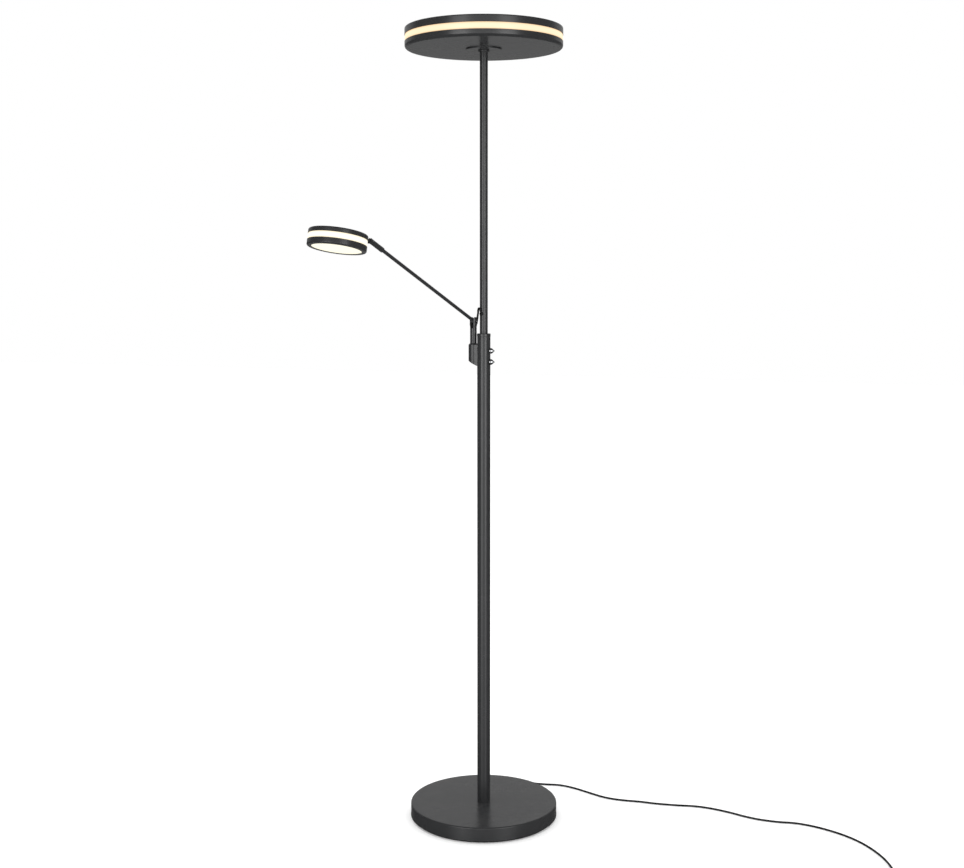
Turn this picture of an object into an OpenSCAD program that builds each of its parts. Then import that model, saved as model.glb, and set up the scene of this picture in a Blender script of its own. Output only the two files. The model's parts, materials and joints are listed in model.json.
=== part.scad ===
// Torchiere floor lamp with a reading arm. Millimetres, +Z up.
// The origin is on the pole's axis, at the underside of the base pad.
// The dimmer knobs point along +X, the arm bracket is on the -X side
// and the mains cord leaves the base along +Y.

/* [Base] */
// Diameter of the round base
base_d = 340; // [290:5:400]
// Height of the base's top face above the floor
base_h = 36; // [32:1:48]
// Thickness of the soft pad under the base
pad_t = 5; // [3:0.5:6]
// How far the pad stands in from the base's edge
pad_inset = 6; // [4:1:12]
// Wall of the pressed base cover
cover_wall = 1.2; // [1:0.1:2]
// Thickness of the iron weight
weight_t = 10; // [9:0.5:14]

/* [Pole] */
// Outer diameter of the lower tube
lower_tube_d = 30; // [28:0.5:36]
// Wall of the lower tube
lower_tube_wall = 1.5; // [1:0.1:2]
// Outer diameter of the upper tube
upper_tube_d = 18; // [17:0.5:20]
// Wall of the upper tube
upper_tube_wall = 1.2; // [1:0.1:1.5]
// Height of the top of the cap on the lower tube
lower_top_z = 1128; // [1120:1:1160]
// Height of the cap on the lower tube
cap_h = 7; // [5:0.5:9]
// Height of the ring at the pole's foot
foot_ring_h = 4; // [3:0.5:8]
// Outer diameter of the threaded tubes that clamp both ends of the pole
stud_d = 10; // [8:0.5:11]

/* [Uplight] */
// Overall height of the lamp
lamp_h = 1800; // [1700:5:1950]
// Diameter of the uplight's disc
disc_d = 350; // [300:5:420]
// Height of the lower metal pan
pan_h = 15; // [14:0.5:20]
// Height of the glowing band
band_h = 14; // [10:0.5:20]
// Height of the upper metal rim
rim_h = 16; // [14:0.5:20]
// Sheet thickness of the pan and of the rim
sheet_t = 1.2; // [1:0.1:2]
// Wall of the opal band
band_t = 2.5; // [2:0.25:3.5]
// Diameter of the flange under the disc
flange_d = 80; // [72:1:110]
// Thickness of the flange under the disc
flange_t = 2.5; // [2:0.25:4]
// Diameter of the collar under the flange
collar_d = 24.5; // [23:0.5:32]
// Height of the collar under the flange
collar_h = 4; // [3:0.5:10]

/* [Bracket and dimmers] */
// Distance from the pole's axis to the arm's swivel axis
arm_offset = 25; // [24:0.5:29]
// Diameter of the bracket block
block_d = 22; // [21:0.5:24]
// Height of the bracket block's top face
block_top_z = 1106; // [1098:1:1110]
// Length of the bracket block along its outer side
block_l = 39; // [33:1:44]
// Height of the lower dimmer knob, for the reading light
knob_low_z = 1064; // [1060:1:1068]
// Distance between the two knobs
knob_pitch = 25; // [22:0.5:26]
// Diameter of a knob
knob_d = 13.4; // [12:0.2:16]
// Length of a knob
knob_l = 10.6; // [9:0.2:14]

/* [Arm joint] */
// Height of the arm's hinge pin
pivot_z = 1156.5; // [1152:0.5:1164]
// Diameter of the swivel post
post_d = 15; // [14:0.25:16]
// Diameter of the fork head on the swivel post
fork_d = 16.5; // [16:0.25:18]
// Diameter of the post's lower pin
swivel_pin_d = 10; // [9:0.5:10.5]
// Direction of the arm at rest, seen from above
arm_turn = 254; // [200:1:270]
// Rise of the arm above level at rest
arm_rise = 25.8; // [10:0.2:40]

/* [Reading arm and head] */
// Diameter of the arm's rod
rod_d = 7.6; // [6.8:0.2:8]
// Distance from the hinge pin to the outer end of the sleeve
arm_reach = 397.3; // [340:0.1:480]
// Diameter of the sleeve that carries the head
sleeve_d = 11; // [10.6:0.2:13]
// Length of the sleeve
sleeve_l = 44.6; // [40:0.2:60]
// Thickness of the head's lug
lug_t = 3; // [2.5:0.25:4]
// Diameter of the reading head
reader_d = 120; // [105:1:140]
// Height of the reading head's top shell
reader_shell_h = 10; // [8:0.5:12]
// Height of the reading head's glowing band
reader_band_h = 12; // [10:0.5:15]
// Height of the reading head's lower ring
reader_ring_h = 12; // [11:0.5:16]
// Width of the lip round the light opening under the reading head
reader_lip = 9.5; // [8:0.5:14]
// Rise of the reading head above level at rest
reader_rise = 11.6; // [5:0.1:20]
// Turn of the sleeve and the head about the rod at rest
head_roll = 0; // [-10:0.1:10]

/* [Hidden] */
$fn = 96;
anthracite = "#4c4d4f";
opal = "#fff6d8";
steel = "#b9bcc0";
black = "#1c1c1d";

// Clearances
run_gap = 0.05;       // radial gap of a running fit
face_gap = 0.05;      // gap between flat faces that turn on each other
hole_gap = 0.2;       // radial gap round a clamped stud

// Base
base_r = base_d / 2;
weight_r = base_r - cover_wall - 5.5;
weight_top = pad_t + weight_t;
cover_floor = base_h - cover_wall;
stud_r = stud_d / 2;
stud_bore_r = stud_r - 1.8;
stud_hole_r = stud_r + hole_gap;
nut_recess_r = stud_r + 9;
nut_r = stud_r + 4.8;
nut_h = 4.5;
nut_flange_r = stud_r + 7;
nut_flange_t = 1;
nut_recess_h = nut_h + nut_flange_t + 1;
edge_r = 3;           // rounding of the pressed edges

// Pole
lower_r = lower_tube_d / 2;
lower_bore_r = lower_r - lower_tube_wall;
upper_r = upper_tube_d / 2;
upper_bore_r = upper_r - upper_tube_wall;
foot_z = base_h + foot_ring_h;
cap_z = lower_top_z - cap_h;
cap_lip = 0.3;        // how far the cap stands proud of the tube
joiner_l = 21;
upper_foot_z = cap_z - joiner_l;
foot_plug_l = 22;
top_plug_l = 20;

// Uplight
disc_r = disc_d / 2;
rim_top = lamp_h;
rim_z = lamp_h - rim_h;
band_z = rim_z - band_h;
pan_z = band_z - pan_h;
pan_floor = pan_z + sheet_t;
flange_z = pan_z - flange_t;
collar_z = flange_z - collar_h;
ledge = 5.5;          // width of the ledges that hold the band
diffuser_t = 2;
lip = 7;              // width of the rim's lip over the top diffuser
boss_r = 4;
boss_root = 0.5;      // how far a boss is sunk into its plate
boss_place_r = disc_r - 18;
tray_z = pan_floor + 13;
tray_t = 1.5;
tray_r = disc_r - 10;
board_r = disc_r - 25;
board_t = 1.6;
flange_screw_r = flange_d / 2 - 12;
driver_size = [110, 46, 10];

// Bracket and dimmers
block_r = block_d / 2;
block_chamfer = 3.5;
block_cut_drop = 12;  // how far the block's underside falls towards the pole
bush_r = swivel_pin_d / 2 + 2;
bush_flange_t = 1;
bush_l = 30;
knob_gap = 0.6;       // from the tube to the knob
knob_r = knob_d / 2;
dimmer_r = 8;
dimmer_neck_r = 3.5;
shaft_r = 3;
knob_zs = [knob_low_z, knob_low_z + knob_pitch];
bracket_screw_r = 2;

// Arm joint
post_r = post_d / 2;
fork_r = fork_d / 2;
swivel_pin_r = swivel_pin_d / 2;
swivel_z = block_top_z + bush_flange_t + face_gap;
fork_z = pivot_z - fork_r;
clip_t = 1;
clip_groove_r = swivel_pin_r - 1;
knuckle_w = rod_d - 0.6;
knuckle_r = 6.5;
washer_t = 0.8;
slot_w = knuckle_w + 2 * washer_t + 2 * face_gap;
slot_drop = 17;       // from the hinge pin down to the floor of the fork's slot
pivot_screw_r = 2;
pivot_tip_y = 2.2;    // how near the screws' tips come to the middle
screw_head_r = 3.4;
screw_head_t = 1.6;
screw_seat_y = fork_r - 2.05;

// Arm: x runs along the rod from the hinge pin, y along the hinge pin
rod_r = rod_d / 2;
rod_start = 9;
tenon_r = 2.5;
tenon_start = 3;
wire_r = 1.4;
tail_l = 9.6;
gland_x = -12.4;
gland_r = 3.4;         // small enough to pass the pole as the arm swings
sleeve_r = sleeve_d / 2;
sleeve_start = arm_reach - sleeve_l;
rod_end = sleeve_start + 24.5;
lug_slot_l = 12;
tilt_pin_r = 1.5;
tilt_pin_x = arm_reach - lug_slot_l / 2;
lug_gap = 0.1;

// Reading head: its own frame has x outwards, z up, and its origin in the middle
reader_r = reader_d / 2;
reader_h = reader_shell_h + reader_band_h + reader_ring_h;
reader_top = reader_h / 2;
reader_bottom = -reader_h / 2;
shell_z = reader_top - reader_shell_h;
ring_top = reader_bottom + reader_ring_h;
opening_r = reader_r - reader_lip;
neck = 41;            // from the tilt pin to the head's edge
neck_rise = 21.1;     // from the head's middle up to the tilt pin
eye_r = 4.5;
lug_foot_w = 16;
lug_foot_t = 2.5;
lug_screw_y = 5;
lug_z = reader_top - 4.5;
plate_r = reader_r - 9;
plate_t = 2;
plate_z = shell_z - 4;
plate_screw_place_r = plate_r - 2.5;

// Cable and cord
cable_d = 4.5;
cable_sides = 8;
cable_r = cable_d / 2;
gland_z = 12;
gland_l = 27;
entry_turn = 252;     // where the arm's cable enters the upper tube
entry_z = 1173;
entry_tilt = 55;

// Loop of cable at the arm's joint, from the pole's grommet to the rod's tail
loop_upper_points = [
    [-2.4, -7.5, 1172.5], [-3.2, -10.5, 1176.5], [-4.2, -12, 1181], [-6.3, -11.4, 1184.5],
    [-9.5, -8.2, 1184], [-12.5, -3, 1180], [-13.2, -0.8, 1177.6]
];
loop_lower_points = [
    [-13.4, -0.2, 1177], [-14.4, 2, 1174.3], [-17, 6.4, 1168], [-19.3, 10.6, 1161],
    [-21.3, 12.6, 1153.6]
];

// Mains cord, from the base to the coil
cord_route = [
    [0, 168, 12], [0, 182, 12], [0, 196, 12], [3, 208, 11], [11, 218, 9],
    [23, 224, 6], [40, 227, 4], [58, 230, 2.5], [82, 234, 2.3], [114, 240, 2.3],
    [152, 233, 2.3], [199, 214, 2.3], [241, 198, 2.3], [283, 195, 2.3], [327, 200, 2.3],
    [363, 201, 2.3], [411, 207, 2.3], [456, 216, 2.3], [498, 215, 2.3], [543, 205, 2.3],
    [579, 193, 2.3], [615, 186, 2.3], [656, 186, 2.3], [694, 192, 2.3], [733, 188, 2.3],
    [771, 176, 2.3], [810, 157, 2.3], [848, 128, 2.3], [880, 91, 2.3], [905, 51, 2.3],
    [924, 6, 2.3], [934, -22, 2.6], [943, -47, 3.2]
];
// From the coil to the plug
cord_tail_route = [
    [950, -69, 12.2], [954, -80, 11.4], [959, -93, 9], [963, -104, 7.4], [968, -117, 7]
];
coil_at = [973, -48];
coil_turn_r = 26;     // mean radius of the turns
turn_gap = 0.4;       // slack round the bundle of turns
coil_lift = 0.9;      // the tie lifts the coil by its own thickness
tie_w = 6;
plug_turn = -70;
plug_at = [964, -107, 7];
plug_boot_l = 14;
plug_w = 35;
plug_t = 13.7;
plug_l = 37;
plug_pin_d = 4;
plug_pin_l = 19;
plug_pin_pitch = 19;

// ---- shared shapes ----

// A ring about the Z axis, or a disc when its bore is 0
module ring(outer, bore, height, z = 0) {
    translate([0, 0, z])
        difference() {
            cylinder(r = outer, h = height);
            if (bore > 0)
                translate([0, 0, -1]) cylinder(r = bore, h = height + 2);
        }
}

// A hexagonal nut with a flange below it
module flanged_nut(z, up = 1) {
    translate([0, 0, z])
        mirror([0, 0, up < 0 ? 1 : 0])
            difference() {
                union() {
                    cylinder(r = nut_flange_r, h = nut_flange_t);
                    translate([0, 0, nut_flange_t])
                        cylinder(r = nut_r, h = nut_h, $fn = 6);
                }
                translate([0, 0, -1]) cylinder(r = stud_r, h = nut_h + nut_flange_t + 2);
            }
}

// A screw that points down from z, with its head above
module screw(shank_r, shank_l, head_r, head_t) {
    difference() {
        union() {
            translate([0, 0, -shank_l]) cylinder(r = shank_r, h = shank_l, $fn = 32);
            cylinder(r = head_r, h = head_t, $fn = 48);
        }
        translate([0, 0, head_t * 0.4]) cylinder(r = head_r * 0.5, h = head_t, $fn = 6);
    }
}

// Copies its children evenly round the Z axis at a radius
module around(count, radius, start = 0) {
    for (i = [0 : count - 1])
        rotate([0, 0, start + 360 * i / count])
            translate([radius, 0, 0]) children();
}

// A pressed sheet dish, open at the top: floor at z = 0, wall outwards
module dish(radius, height, wall, hole, inner_ledge) {
    rotate_extrude($fn = 180)
        difference() {
            union() {
                translate([hole, 0]) square([radius - edge_r - hole, wall]);
                translate([radius - wall, edge_r]) square([wall, height - edge_r]);
                translate([radius - edge_r, edge_r])
                    intersection() {
                        circle(r = edge_r, $fn = 48);
                        translate([0, -edge_r]) square(edge_r);
                    }
                translate([radius - inner_ledge, height - wall]) square([inner_ledge, wall]);
            }
            translate([radius - edge_r, edge_r]) circle(r = edge_r - wall, $fn = 48);
        }
}

// Points on a smooth curve through a list of points
function spline_point(p, i, t) =
    let (a = p[max(i - 1, 0)], b = p[i], c = p[i + 1], d = p[min(i + 2, len(p) - 1)])
    0.5 * (2 * b + (c - a) * t + (2 * a - 5 * b + 4 * c - d) * t * t
           + (3 * b - a - 3 * c + d) * t * t * t);
function spline(p, steps) = [
    for (i = [0 : len(p) - 2]) for (s = [0 : steps - 1]) spline_point(p, i, s / steps),
    p[len(p) - 1]
];
function unit(v) = v / norm(v);
function heading(p, i) = unit(p[min(i + 1, len(p) - 1)] - p[max(i - 1, 0)]);
function ring_points(centre, along, up, r, sides) =
    let (side = unit(cross(along, up)), over = cross(side, along))
    [for (k = [0 : sides - 1]) centre + r * (cos(360 * k / sides) * side
                                            + sin(360 * k / sides) * over)];

// A tube swept along a list of points; up is any direction the tube never points in
module tube_along(points, r, sides, up) {
    count = len(points);
    rings = [for (i = [0 : count - 1])
             each ring_points(points[i], heading(points, i), up, r, sides)];
    walls = [for (i = [0 : count - 2]) for (k = [0 : sides - 1])
             [i * sides + k, i * sides + (k + 1) % sides,
              (i + 1) * sides + (k + 1) % sides, (i + 1) * sides + k]];
    first = [for (k = [sides - 1 : -1 : 0]) k];
    last = [for (k = [0 : sides - 1]) (count - 1) * sides + k];
    polyhedron(points = rings, faces = concat(walls, [first, last]), convexity = 6);
}

// The frames of the moving parts at rest
module at_swivel() translate([-arm_offset, 0, 0]) rotate([0, 0, arm_turn]) children();
module at_arm() translate([-arm_offset, 0, pivot_z]) rotate([0, -arm_rise, arm_turn]) children();
module at_sleeve() at_arm() rotate([head_roll, 0, 0]) children();
module at_reader()
    at_sleeve() translate([tilt_pin_x, 0, 0]) rotate([0, arm_rise - reader_rise, 0])
        translate([neck + reader_r, 0, -neck_rise]) children();

// ---- base ----

module base_pad() color(black) ring(base_r - pad_inset, 0, pad_t);

module base_weight() color("#5a5a5a")
    difference() {
        ring(weight_r, stud_hole_r, weight_t, pad_t);
        translate([0, 0, pad_t - 1]) cylinder(r = nut_recess_r, h = nut_recess_h + 1);
    }

module base_cover() color(anthracite)
    difference() {
        translate([0, 0, base_h])
            mirror([0, 0, 1])
                dish(base_r, base_h - pad_t, cover_wall, stud_hole_r, cover_wall);
        translate([0, base_r, gland_z])
            rotate([90, 0, 0]) cylinder(r = cable_r + 1.6, h = 12, center = true);
    }

module base_spacer() color(steel)
    ring(stud_r + 7, stud_hole_r, cover_floor - weight_top, weight_top);

module base_stud() color(steel)
    ring(stud_r, stud_bore_r, foot_z + foot_plug_l - 2 - pad_t - 1.2, pad_t + 1.2);

// The nuts of the base stud and of the head nipple
module stud_nuts() color(steel) {
    flanged_nut(pad_t + nut_recess_h, -1);
    flanged_nut(pan_floor);
}

module foot_ring() color(anthracite) ring(lower_r, stud_hole_r, foot_ring_h, base_h);

module foot_plug() color(steel) ring(lower_bore_r, stud_r, foot_plug_l, foot_z);

// ---- pole ----

module lower_tube() color(anthracite)
    difference() {
        ring(lower_r, lower_bore_r, cap_z - foot_z, foot_z);
        for (z = knob_zs) {
            translate([0, 0, z])
                rotate([0, 90, 0]) cylinder(r = dimmer_neck_r, h = lower_r + 2);
            translate([0, 0, z])
                rotate([0, -90, 0]) cylinder(r = bracket_screw_r, h = lower_r + 2);
        }
    }

module pole_joiner() color(steel) ring(lower_bore_r, upper_r, joiner_l, upper_foot_z);

module pole_cap() color(anthracite)
    rotate_extrude()
        polygon([
            [upper_r, cap_z], [lower_r + cap_lip, cap_z], [lower_r + cap_lip, lower_top_z - 1],
            [lower_r + cap_lip - 1, lower_top_z], [upper_r, lower_top_z]
        ]);

module at_entry() rotate([0, 0, entry_turn]) translate([upper_r, 0, entry_z]) children();

module upper_tube() color(anthracite)
    difference() {
        ring(upper_r, upper_bore_r, flange_z - upper_foot_z, upper_foot_z);
        at_entry() rotate([0, entry_tilt, 0]) cylinder(r = cable_r + 0.6, h = 14, center = true);
    }

module cable_grommet() color(black)
    difference() {
        at_entry() translate([-2, 0, 0]) rotate([0, 90, 0]) cylinder(r = 5, h = 3.4);
        translate([0, 0, entry_z - 10]) cylinder(r = upper_r, h = 20);
        at_entry() rotate([0, entry_tilt, 0]) cylinder(r = cable_r + 0.1, h = 24, center = true);
    }

module top_plug() color(steel)
    ring(upper_bore_r, stud_r, top_plug_l, flange_z - top_plug_l);

module head_nipple() color(steel)
    ring(stud_r, stud_bore_r, top_plug_l + flange_t + sheet_t + 8, flange_z - top_plug_l + 2);

module head_collar() color(anthracite) ring(collar_d / 2, upper_r, collar_h, collar_z);

module head_flange() color(anthracite)
    difference() {
        ring(flange_d / 2, stud_hole_r, flange_t, flange_z);
        around(3, flange_screw_r, 60)
            translate([0, 0, flange_z + 0.6]) cylinder(r = 2, h = flange_t, $fn = 32);
    }

module flange_screws() color(steel)
    around(3, flange_screw_r, 60)
        translate([0, 0, pan_floor]) screw(2, sheet_t + flange_t - 0.8, 3.6, 2.2);

// ---- uplight ----

module uplight_pan() color(anthracite)
    difference() {
        union() {
            translate([0, 0, pan_z]) dish(disc_r, pan_h, sheet_t, stud_hole_r, ledge);
            around(4, boss_place_r, 45)
                translate([0, 0, pan_floor - boss_root])
                    cylinder(r = boss_r, h = tray_z - pan_floor + boss_root);
        }
        around(3, flange_screw_r, 60)
            translate([0, 0, pan_z - 1]) cylinder(r = 2, h = sheet_t + 2, $fn = 32);
        around(4, boss_place_r, 45)
            translate([0, 0, tray_z - 8]) cylinder(r = 1.5, h = 9, $fn = 32);
    }

module uplight_tray() color(steel)
    difference() {
        ring(tray_r, stud_r + 12, tray_t, tray_z);
        around(4, boss_place_r, 45)
            translate([0, 0, tray_z - 1]) cylinder(r = 1.5, h = tray_t + 2, $fn = 32);
    }

module tray_screws() color(steel)
    around(4, boss_place_r, 45)
        translate([0, 0, tray_z + tray_t]) screw(1.5, 8, 3, 1.8);

module uplight_board() color("#e8e8e2")
    ring(board_r, disc_r * 0.3, board_t, tray_z + tray_t);

module uplight_leds() color("#ffe9a0")
    for (row = [[18, board_r - 12], [12, board_r - 45]])
        around(row[0], row[1])
            translate([-1.75, -1.4, tray_z + tray_t + board_t]) cube([3.5, 2.8, 0.7]);

module uplight_driver() color("#e4e4e4")
    translate([stud_r + 27, -driver_size[1] / 2, pan_floor]) cube(driver_size);

module band_diffuser() color(opal)
    ring(disc_r - 1, disc_r - 1 - band_t, band_h, band_z);

module top_rim() color(anthracite)
    union() {
        translate([0, 0, rim_top])
            mirror([0, 0, 1]) dish(disc_r, rim_h, sheet_t, disc_r - lip, ledge);
        ring(disc_r - sheet_t / 2, disc_r - sheet_t - 2.5, 1.5,
             rim_top - sheet_t - diffuser_t - 1.5);
    }

module top_diffuser() color(opal)
    ring(disc_r - edge_r, 0, diffuser_t, rim_top - sheet_t - diffuser_t);

// ---- dimmers and knobs ----

module dimmer(z) {
    translate([0, 0, z])
        rotate([0, 90, 0])
            difference() {
                union() {
                    cylinder(r = dimmer_r, h = 10.4);
                    translate([0, 0, 10.4])
                        cylinder(r = dimmer_neck_r, h = lower_r + 2 - 10.4);
                    translate([0, 0, lower_r + 0.1])
                        cylinder(r = 5, h = 1.9, $fn = 6);
                }
                translate([0, 0, 5]) cylinder(r = shaft_r + run_gap, h = lower_r);
            }
}

module uplight_dimmer() color("#3f5a3a") dimmer(knob_zs[1]);
module reading_dimmer() color("#3f5a3a") dimmer(knob_zs[0]);

// A turned knob on its shaft: a bell shape with a small nose
module knob(z) {
    nose_r = knob_r * 0.2;
    translate([lower_r + knob_gap, 0, z])
        rotate([0, 90, 0])
            union() {
                rotate_extrude()
                    difference() {
                        union() {
                            square([knob_r, 1.2]);
                            polygon([
                                [0, 1.2], [knob_r, 1.2], [knob_r * 0.93, knob_l * 0.27],
                                [knob_r * 0.72, knob_l * 0.5], [knob_r * 0.46, knob_l * 0.68],
                                [nose_r * 1.3, knob_l * 0.8], [nose_r, knob_l * 0.92],
                                [nose_r * 0.6, knob_l], [0, knob_l]
                            ]);
                        }
                        translate([-1, -1]) square([knob_r, 3.4]);
                    }
                translate([0, 0, -lower_r - knob_gap + 6])
                    cylinder(r = shaft_r, h = lower_r + knob_gap - 6 + 3);
            }
}

module uplight_knob() color("#d8dadc") knob(knob_zs[1]);
module reading_knob() color("#d8dadc") knob(knob_zs[0]);

// ---- bracket and swivel ----

module arm_bracket() color(anthracite)
    difference() {
        translate([0, 0, block_top_z - block_l - block_cut_drop])
            union() {
                translate([-arm_offset, 0, 0]) {
                    cylinder(r = block_r, h = block_l + block_cut_drop - block_chamfer);
                    translate([0, 0, block_l + block_cut_drop - block_chamfer])
                        cylinder(r1 = block_r, r2 = block_r - block_chamfer, h = block_chamfer);
                }
                translate([-arm_offset, -block_r * 0.75, 0])
                    cube([arm_offset - lower_r + 3, block_r * 1.5,
                          block_l + block_cut_drop - block_chamfer]);
            }
        cylinder(r = lower_r, h = 3 * block_top_z, center = true, $fn = 180);
        // the slanting underside
        translate([-arm_offset - block_r, 0, block_top_z - block_l])
            rotate([0, atan2(block_cut_drop, arm_offset + block_r - lower_r), 0])
                translate([-20, -block_r - 5, -60]) cube([100, 2 * block_r + 10, 60]);
        translate([-arm_offset, 0, block_top_z - bush_l]) cylinder(r = bush_r, h = bush_l + 1);
        translate([-arm_offset, 0, 0]) cylinder(r = bush_r + 1, h = block_top_z - bush_l + 0.5);
        for (z = knob_zs)
            translate([-lower_r - 4, 0, z])
                rotate([0, 90, 0]) cylinder(r = bracket_screw_r, h = 12);
    }

module bracket_screws() color(steel)
    for (z = knob_zs)
        translate([-lower_bore_r + 0.6, 0, z])
            rotate([0, 90, 0]) screw(bracket_screw_r, lower_tube_wall + 0.6 + 2.2, 3.6, 2.2);

module spigot_bush() color(black)
    translate([-arm_offset, 0, 0]) {
        ring(bush_r, swivel_pin_r + run_gap, bush_l - 0.5, block_top_z - bush_l + 0.5);
        ring(post_r, swivel_pin_r + run_gap, bush_flange_t, block_top_z);
    }

module arm_spigot() color(anthracite)
    at_swivel()
        difference() {
            union() {
                translate([0, 0, swivel_z]) cylinder(r = post_r, h = fork_z - swivel_z);
                translate([0, 0, fork_z - 5]) cylinder(r1 = post_r, r2 = fork_r, h = 3);
                // the fork's head, rounded over the hinge pin
                intersection() {
                    translate([0, 0, fork_z - 2]) cylinder(r = fork_r, h = 2 * fork_r + 2);
                    union() {
                        translate([0, 0, pivot_z])
                            rotate([90, 0, 0]) cylinder(r = fork_r, h = 40, center = true);
                        translate([-20, -20, fork_z - 2]) cube([40, 40, fork_r + 2]);
                    }
                }
                translate([0, 0, block_top_z - bush_l - 4])
                    cylinder(r = swivel_pin_r, h = bush_l + 5);
            }
            translate([-20, -slot_w / 2, pivot_z - slot_drop]) cube([40, slot_w, 60]);
            translate([0, 0, pivot_z])
                rotate([90, 0, 0]) cylinder(r = pivot_screw_r, h = 40, center = true);
            for (side = [-1, 1])
                translate([0, side * (screw_seat_y + 10), pivot_z])
                    rotate([90, 0, 0]) cylinder(r = screw_head_r + 0.5, h = 20, center = true);
            translate([0, 0, block_top_z - bush_l - 1.2])
                ring(swivel_pin_r + 1, clip_groove_r, clip_t + 0.2);
        }

module spigot_clip() color(steel)
    translate([-arm_offset, 0, block_top_z - bush_l - 1.1])
        ring(bush_r + 0.5, clip_groove_r, clip_t);

module pivot_screws() color("#9a9da1")
    at_swivel() translate([0, 0, pivot_z])
        for (side = [-1, 1])
            rotate([-90 * side, 0, 0])
                translate([0, 0, screw_seat_y])
                    screw(pivot_screw_r, screw_seat_y - pivot_tip_y, screw_head_r, screw_head_t);

// ---- arm ----

module along_x(from, to, r) {
    translate([from, 0, 0]) rotate([0, 90, 0]) cylinder(r = r, h = to - from);
}

module arm_knuckle() color(anthracite)
    at_arm()
        difference() {
            union() {
                rotate([90, 0, 0]) cylinder(r = knuckle_r, h = knuckle_w, center = true);
                along_x(-tail_l, rod_start, rod_r);
            }
            // flats beside the barrel, for the washers
            for (side = [-1, 1])
                translate([-knuckle_r, side * knuckle_w - knuckle_w / 2, -knuckle_r])
                    cube([2 * knuckle_r, knuckle_w, 2 * knuckle_r]);
            along_x(tenon_start, rod_start + 1, tenon_r);
            along_x(-tail_l - 1, tenon_start + 1, wire_r);
            for (side = [-1, 1])
                rotate([-90 * side, 0, 0])
                    translate([0, 0, pivot_tip_y - 0.1])
                        cylinder(r = pivot_screw_r + run_gap, h = knuckle_w);
        }

module friction_washers() color(black)
    at_arm()
        for (side = [-1, 1])
            rotate([-90 * side, 0, 0])
                ring(knuckle_r - 0.4, pivot_screw_r + run_gap, washer_t, knuckle_w / 2);

module arm_rod() color(anthracite)
    at_arm()
        difference() {
            union() {
                along_x(tenon_start, rod_start + 1, tenon_r);
                along_x(rod_start, rod_end, rod_r);
            }
            along_x(tenon_start - 1, rod_end + 1, wire_r);
        }

module tail_gland() color(black)
    at_arm()
        difference() {
            translate([gland_x, 0, 0]) sphere(r = gland_r);
            translate([-tail_l, -10, -10]) cube(20);
        }

module loop_cable_upper() color(black)
    tube_along(spline(loop_upper_points, 3), cable_r, cable_sides, [1, 1, 0]);

module loop_cable_lower() color(black)
    tube_along(spline(loop_lower_points, 3), cable_r, cable_sides, [1, 1, 0]);

module head_sleeve() color(anthracite)
    at_sleeve()
        difference() {
            along_x(sleeve_start, arm_reach, sleeve_r);
            along_x(sleeve_start - 1, rod_end + 0.5, rod_r + run_gap);
            along_x(rod_end, arm_reach - lug_slot_l + 1, wire_r);
            translate([arm_reach - lug_slot_l, -lug_t / 2 - lug_gap, -20])
                cube([40, lug_t + 2 * lug_gap, 40]);
            translate([tilt_pin_x, 0, 0])
                rotate([90, 0, 0]) cylinder(r = tilt_pin_r, h = 40, center = true);
        }

module tilt_pin() color("#9a9da1")
    at_sleeve() translate([tilt_pin_x, 0, 0])
        rotate([90, 0, 0]) cylinder(r = tilt_pin_r, h = 2 * sleeve_r - 0.4, center = true);

// ---- reading head ----

module head_lug() color(anthracite)
    at_reader()
        difference() {
            union() {
                translate([-neck - reader_r, 0, neck_rise])
                    rotate([90, 0, 0]) cylinder(r = eye_r, h = lug_t, center = true);
                rotate([90, 0, 0])
                    linear_extrude(height = lug_t, center = true)
                        polygon([
                            [-neck - reader_r + 1, neck_rise + eye_r - 0.2],
                            [-reader_r, lug_z + 3], [-reader_r, lug_z - 3],
                            [-neck - reader_r - 1.6, neck_rise - eye_r + 0.3]
                        ]);
                translate([-reader_r - lug_foot_t, -lug_foot_w / 2, lug_z - 3.5])
                    cube([lug_foot_t + 2, lug_foot_w, 7]);
            }
            cylinder(r = reader_r, h = 4 * reader_h, center = true, $fn = 180);
            translate([-neck - reader_r, 0, neck_rise])
                rotate([90, 0, 0]) cylinder(r = tilt_pin_r + run_gap, h = 40, center = true);
            for (side = [-1, 1])
                translate([0, side * lug_screw_y, lug_z])
                    along_x(-reader_r - 10, -reader_r + 10, 1.25);
        }

module lug_screws() color("#9a9da1")
    at_reader()
        for (side = [-1, 1])
            translate([-reader_r - lug_foot_t, side * lug_screw_y, lug_z])
                rotate([0, -90, 0]) screw(1.25, 6.5, 2.2, 1.3);

module reading_shell() color(anthracite)
    at_reader()
        difference() {
            union() {
                translate([0, 0, reader_top])
                    mirror([0, 0, 1]) dish(reader_r, reader_shell_h, sheet_t, 0, 4.5);
                around(3, plate_screw_place_r, 60)
                    translate([0, 0, plate_z + plate_t])
                        cylinder(r = 2.5, h = reader_top - sheet_t - plate_z - plate_t + boss_root);
            }
            around(3, plate_screw_place_r, 60)
                translate([0, 0, plate_z]) cylinder(r = 1.25, h = 8, $fn = 32);
            for (side = [-1, 1])
                translate([0, side * lug_screw_y, lug_z])
                    along_x(-reader_r - 10, -reader_r + 10, 1.25);
        }

module reading_band() color(opal)
    at_reader() ring(reader_r - 0.8, reader_r - 3, reader_band_h, ring_top);

module reading_ring() color(anthracite)
    at_reader() translate([0, 0, reader_bottom])
        dish(reader_r, reader_ring_h, sheet_t, opening_r, 4.5);

module reading_diffuser() color(opal)
    at_reader() ring(reader_r - edge_r - 2, 0, diffuser_t, reader_bottom + sheet_t);

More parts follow.
